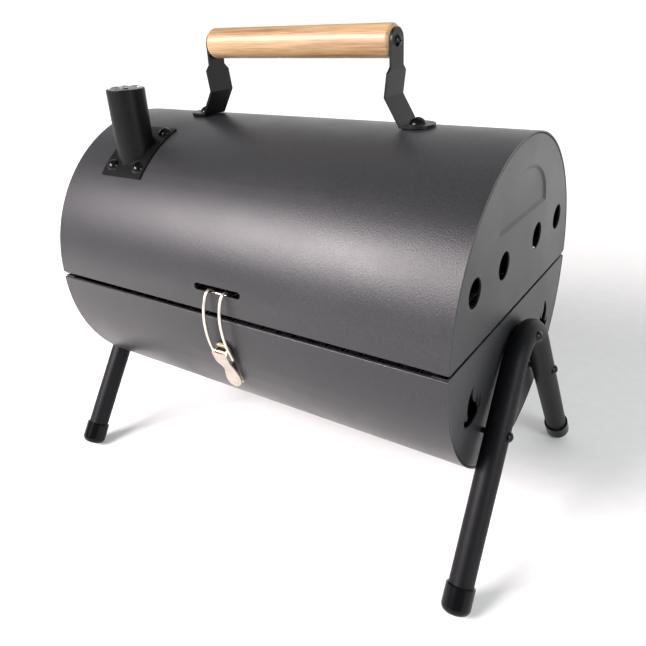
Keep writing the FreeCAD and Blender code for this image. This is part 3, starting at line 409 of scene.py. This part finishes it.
# ---- Handle ----
# Grip turned from rubberwood, clear lacquered, between two kinked brackets of black enamelled strip,
# each held by a large domed screw on the lid and a smaller one into the grip's end.
WOOD_LIGHT = "#B39B75"
WOOD_MID = "#A3855E"
WOOD_DARK = "#785A38"
WOOD_BAND = 6.0 * MM        # width of the growth bands
GRAIN_WIDTH = 0.8 * MM
GRAIN_LENGTH = 26.0 * MM
GRAIN_RELIEF = 0.1 * MM
WOOD_ROUGHNESS = (0.38, 0.55)
LACQUER_WEIGHT = 0.2
LACQUER_ROUGHNESS = 0.26


def grip_wood():
    """Turned rubberwood: pale honey streaks along the grip, open grain, under a thin satin lacquer."""
    mat, shader = new_material("rubberwood_turned_lacquered")
    place = add(mat, "ShaderNodeTexCoord")
    stretch = add(mat, "ShaderNodeMapping", {"Scale": (GRAIN_WIDTH / GRAIN_LENGTH, 1.0, 1.0)},
                  {"Vector": (place, "Object")})
    streak = add(mat, "ShaderNodeTexNoise", {"Scale": 1 / GRAIN_WIDTH, "Detail": 4.0, "Roughness": 0.65},
                 {"Vector": (stretch, "Vector")})
    band = add(mat, "ShaderNodeTexNoise", {"Scale": 1 / WOOD_BAND, "Detail": 2.0},
               {"Vector": (stretch, "Vector")})
    both = add(mat, "ShaderNodeMath", {"operation": "ADD"}, {0: (streak, "Fac"), 1: (band, "Fac")})
    half = add(mat, "ShaderNodeMath", {"operation": "MULTIPLY", 1: 0.5}, {0: (both, "Value")})
    colour = add(mat, "ShaderNodeValToRGB",
                 {"stops": [(0.34, WOOD_DARK), (0.5, WOOD_MID), (0.64, WOOD_LIGHT)]},
                 {"Fac": (half, "Value")})
    gloss = add(mat, "ShaderNodeMapRange", {"To Min": WOOD_ROUGHNESS[0], "To Max": WOOD_ROUGHNESS[1]},
                {"Value": (streak, "Fac")})
    bump = add(mat, "ShaderNodeBump", {"Strength": 0.3, "Distance": GRAIN_RELIEF},
               {"Height": (streak, "Fac")})
    shader.inputs["IOR"].default_value = GLOSS_IOR
    shader.inputs["Coat Weight"].default_value = LACQUER_WEIGHT
    shader.inputs["Coat Roughness"].default_value = LACQUER_ROUGHNESS
    connect(mat, shader, Base_Color=(colour, "Color"), Roughness=(gloss, "Result"),
            Normal=(bump, "Normal"))
    return mat


wood_mat = grip_wood()
dress(wood_mat, "handle_grip")
dress(enamel_mat, "handle_bracket_left", "handle_bracket_right")
dress(screw_mat, "handle_grip_screws", "handle_foot_screws")


# ---- Latch ----
# Draw latch pressed from nickel-plated steel: a plate riveted to the base, a lever on a pin, and a bail
# of 2 mm wire whose hooked end reaches through the slot in the lid.
NICKEL = "#C4BBAC"
NICKEL_DULL = "#B5AC9D"
# Painted highlight: the wire's two greys are the lever's nickel painted lighter, as the wire's lit edges.
WIRE_NICKEL_PAINTED_LIGHT = "#E2DACB"
WIRE_DULL_PAINTED_LIGHT = "#CFC6B6"
NICKEL_HAZE = 5.0 * MM
NICKEL_ROUGHNESS = (0.30, 0.38)


def nickel_plate(name, bright, dull):
    """Bright nickel plate: warm pale metal, slightly hazy, that blurs what it mirrors."""
    mat, shader = new_material(name)
    place = add(mat, "ShaderNodeTexCoord")
    haze = add(mat, "ShaderNodeTexNoise", {"Scale": 1 / NICKEL_HAZE, "Detail": 3.0},
               {"Vector": (place, "Object")})
    colour = add(mat, "ShaderNodeValToRGB", {"stops": [(0.3, dull), (0.6, bright)]},
                 {"Fac": (haze, "Fac")})
    gloss = add(mat, "ShaderNodeMapRange", {"To Min": NICKEL_ROUGHNESS[0], "To Max": NICKEL_ROUGHNESS[1]},
                {"Value": (haze, "Fac")})
    shader.inputs["Metallic"].default_value = 1.0
    connect(mat, shader, Base_Color=(colour, "Color"), Roughness=(gloss, "Result"))
    return mat


nickel_mat = nickel_plate("nickel_plated_pressed_steel", NICKEL, NICKEL_DULL)
wire_highlight_mat = nickel_plate("nickel_drawn_wire_painted_highlight", WIRE_NICKEL_PAINTED_LIGHT, WIRE_DULL_PAINTED_LIGHT)
dress(nickel_mat, "latch_plate", "latch_rivets", "latch_pin", "latch_lever")
AXIS_Z = 165.0              # seam height in millimetres, as are all the wire's sizes
BAIL_WIRE_R = 1.05
BAIL_HALF = 7.6             # half the loop's width at the lever
BAIL_TOP_HALF = 6.5         # and at the slot
BAIL_INNER = 5.3            # where an end stops, inside the lever
LEVER_BEND = 0.5            # how far in from the leg the bend at the lever starts
HOOK_BENDS = (1.5, 4.0)     # how far in from the leg the hook's bend ends, and its straight bar starts
# One leg of the wire from its end in the lever to its hook behind the slot: Y, and height above the seam.
BAIL_LEG = ((-104.8, -30.4), (-106.0, -27.0), (-108.0, -21.5), (-109.9, -15.0), (-111.1, -7.0),
            (-111.4, 0.0), (-110.6, 6.6), (-109.2, 11.3), (-107.7, 14.5), (-105.6, 16.9), (-103.4, 17.2),
            (-101.6, 16.2), (-101.0, 14.2))


def bail():
    """One bent wire, symmetrical: an end in the lever, a bowed leg, a hook through the slot and back."""
    lever_y, lever_h = BAIL_LEG[0]
    hook_y, hook_h = BAIL_LEG[-1]
    half = [(BAIL_INNER, lever_y, lever_h), (BAIL_HALF - LEVER_BEND, lever_y, lever_h)]
    for y, h in BAIL_LEG:
        share = min(max((h - lever_h) / (hook_h - lever_h), 0.0), 1.0)
        half.append((BAIL_HALF + (BAIL_TOP_HALF - BAIL_HALF) * share, y, h))
    half += [(BAIL_TOP_HALF - bend, hook_y, hook_h) for bend in HOOK_BENDS]
    points = half + [(-x, y, h) for x, y, h in reversed(half)]
    curve = bpy.data.curves.new("latch_bail_wire", "CURVE")
    curve.dimensions = "3D"
    curve.bevel_depth = BAIL_WIRE_R * MM
    curve.bevel_resolution = 6
    curve.use_fill_caps = True
    curve.resolution_u = 12
    spline = curve.splines.new("NURBS")
    spline.points.add(len(points) - 1)
    for point, (x, y, h) in zip(spline.points, points):
        point.co = (x * MM, y * MM, (AXIS_Z + h) * MM, 1.0)
    spline.order_u = 3
    spline.use_endpoint_u = True
    curve.materials.append(wire_highlight_mat)
    obj = bpy.data.objects.new("latch_bail_wire", curve)
    bpy.context.scene.collection.objects.link(obj)
    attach(obj, "latch_bail")
    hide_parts("latch_bail")


bail()


# ---- Studio ----
# Pale floor that glows as painted light, dimmer under the grill and brighter away from it, soft room
# light, one large window-like softbox at the front left, which gives the long highlight on the lid, and a
# weak upright card at the right that edges the legs.
# Painted light: the floor itself glows, a little under the grill and more further away.
FLOOR_PAINTED_GLOW = (0.1, 0.7)   # under the grill, and from PAINTED_GLOW_REACH metres away
PAINTED_GLOW_REACH = (0.4, 1.2)
FLOOR_REACH = 12.0
PAPER_DARK = "#EDEDEB"
PAPER_LIGHT = "#F6F6F5"
PAPER_FIBRE = 1 / 90.0      # metres
PAPER_ROUGHNESS = 0.9
AIM = Vector((0.0, 0.0, 0.20))


def floor():
    """Pale paper with a painted glow of its own: dimmer under the grill, brighter away from it."""
    mat, shader = new_material("paper_floor_pale")
    place = add(mat, "ShaderNodeTexCoord")
    fibre = add(mat, "ShaderNodeTexNoise", {"Scale": 1 / PAPER_FIBRE, "Detail": 2.0},
                {"Vector": (place, "Object")})
    colour = add(mat, "ShaderNodeValToRGB", {"stops": [(0.0, PAPER_DARK), (1.0, PAPER_LIGHT)]},
                 {"Fac": (fibre, "Fac")})
    shader.inputs["Roughness"].default_value = PAPER_ROUGHNESS
    away = add(mat, "ShaderNodeVectorMath", {"operation": "LENGTH"}, {0: (place, "Object")})
    glow = add(mat, "ShaderNodeMapRange",
               {"interpolation_type": "SMOOTHSTEP", "From Min": PAINTED_GLOW_REACH[0], "From Max": PAINTED_GLOW_REACH[1],
                "To Min": FLOOR_PAINTED_GLOW[0], "To Max": FLOOR_PAINTED_GLOW[1]},
               {"Value": (away, "Value")})
    connect(mat, shader, Base_Color=(colour, "Color"), Emission_Color=(colour, "Color"),
            Emission_Strength=(glow, "Result"))
    mesh = bpy.data.meshes.new("floor")
    signs = ((-1, -1), (1, -1), (1, 1), (-1, 1))
    corners = [(sx * FLOOR_REACH, sy * FLOOR_REACH, 0) for sx, sy in signs]
    mesh.from_pydata(corners, [], [(0, 1, 2, 3)])
    mesh.materials.append(mat)
    obj = bpy.data.objects.new("floor", mesh)
    bpy.context.scene.collection.objects.link(obj)


def softbox(name, azimuth, elevation, distance, size, power, colour):
    """Area light on a direction from the object, azimuth from the front towards +X, facing it."""
    az = math.radians(azimuth)
    el = math.radians(elevation)
    away = Vector((math.sin(az) * math.cos(el), -math.cos(az) * math.cos(el), math.sin(el)))
    data = bpy.data.lights.new(name, "AREA")
    data.shape = "RECTANGLE"
    data.size, data.size_y = size
    data.energy = power
    data.color = colour
    obj = bpy.data.objects.new(name, data)
    obj.location = AIM + away * distance
    obj.rotation_euler = away.to_track_quat("Z", "Y").to_euler()
    bpy.context.scene.collection.objects.link(obj)


def room_light(front, back, overhead):
    """White room whose far wall is brighter than the side behind the camera and the ceiling."""
    world = bpy.data.worlds.new("studio_room")
    world.use_nodes = True
    background = world.node_tree.nodes["Background"]
    background.inputs["Color"].default_value = (1.0, 1.0, 1.0, 1.0)
    place = add(world, "ShaderNodeTexCoord")
    split = add(world, "ShaderNodeSeparateXYZ", links={"Vector": (place, "Generated")})
    wall = add(world, "ShaderNodeMapRange",
               {"interpolation_type": "SMOOTHSTEP", "From Min": -0.1, "From Max": 0.6,
                "To Min": front, "To Max": back},
               {"Value": (split, "Y")})
    rise = add(world, "ShaderNodeMapRange",
               {"interpolation_type": "SMOOTHSTEP", "From Min": 0.1, "From Max": 0.6,
                "To Min": 1.0, "To Max": overhead},
               {"Value": (split, "Z")})
    total = add(world, "ShaderNodeMath", {"operation": "MULTIPLY"},
                {0: (wall, "Result"), 1: (rise, "Result")})
    world.node_tree.links.new(total.outputs["Value"], background.inputs["Strength"])
    bpy.context.scene.world = world


floor()
room_light(front=0.42, back=1.2, overhead=0.6)
softbox("side_card", azimuth=72, elevation=18, distance=1.2, size=(0.35, 0.7), power=7.0,
        colour=(0.92, 0.95, 1.0))
softbox("window_softbox", azimuth=-30, elevation=30, distance=1.6, size=(0.95, 0.62), power=57.0,
        colour=(1.0, 0.90, 0.935))


# ---- Camera ----
# Looking down at the front right corner, close enough for strong perspective.
CAMERA_PLACE = Vector((273.2, -374.7, 344.4)) * MM
CAMERA_AZIMUTH = math.radians(35.27)
CAMERA_ELEVATION = math.radians(26.48)
CAMERA_ROLL = math.radians(-3.17)
LENS = 35.99
SENSOR = 36.0


def camera():
    back = Vector((math.sin(CAMERA_AZIMUTH) * math.cos(CAMERA_ELEVATION),
                   -math.cos(CAMERA_AZIMUTH) * math.cos(CAMERA_ELEVATION),
                   math.sin(CAMERA_ELEVATION)))
    level = Vector((math.cos(CAMERA_AZIMUTH), math.sin(CAMERA_AZIMUTH), 0.0))
    upright = back.cross(level)
    across = level * math.cos(CAMERA_ROLL) + upright * math.sin(CAMERA_ROLL)
    up = upright * math.cos(CAMERA_ROLL) - level * math.sin(CAMERA_ROLL)
    data = bpy.data.cameras.new("camera")
    data.lens = LENS
    data.sensor_width = SENSOR
    data.clip_start = 0.01
    obj = bpy.data.objects.new("camera", data)
    turn = Matrix((across, up, back)).transposed()
    obj.matrix_world = Matrix.Translation(CAMERA_PLACE) @ turn.to_4x4()
    bpy.context.scene.collection.objects.link(obj)
    bpy.context.scene.camera = obj


camera()
bpy.context.scene.view_settings.view_transform = "Standard"
